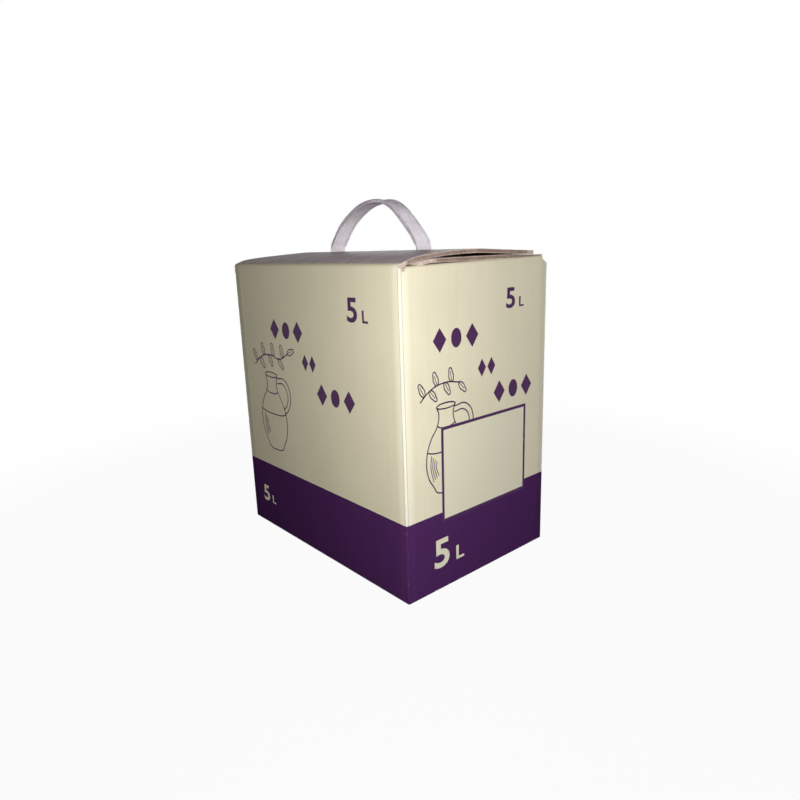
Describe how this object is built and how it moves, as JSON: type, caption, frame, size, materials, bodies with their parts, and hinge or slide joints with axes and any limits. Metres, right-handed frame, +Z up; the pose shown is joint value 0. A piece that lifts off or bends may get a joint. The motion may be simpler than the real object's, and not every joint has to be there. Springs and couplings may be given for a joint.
{
  "type": "bag in box carton",
  "caption": "Folded corrugated carton with a carry strap through its opening top flap, holding a full drink bag with a stowed tap behind a perforated knock-out.",
  "frame": {"origin": "middle of the base, on the surface the carton stands on", "axes": "+Z up, +X towards the narrow wall with the label panel, -Y towards the front long wall, whose top edge the outer flap is hinged on"},
  "size_m": [0.204, 0.142, 0.264],
  "materials": {
    "printed_board": "matt white-lined corrugated board with a cream and purple print",
    "flap_board": "unprinted white-lined corrugated board",
    "strap_plastic": "milky ribbed polyethylene",
    "bag_film": "metallised film",
    "tap_plastic": "white moulded plastic",
    "lever_plastic": "red moulded plastic"
  },
  "bodies": {
    "box": {"carton": "printed_board", "inner_bag": "bag_film", "tap_gland": "tap_plastic", "tap_body": "tap_plastic", "tap_lever": "lever_plastic"},
    "flap": {"outer_flap": "flap_board", "carry_strap": "strap_plastic"}
  },
  "joints": [
    {"name": "outer_flap_fold", "type": "hinge", "parent": "box", "child": "flap", "pos_m": [0, -0.0679, 0.2203], "axis": [1, 0, 0], "range_deg": [0, 180]}
  ]
}
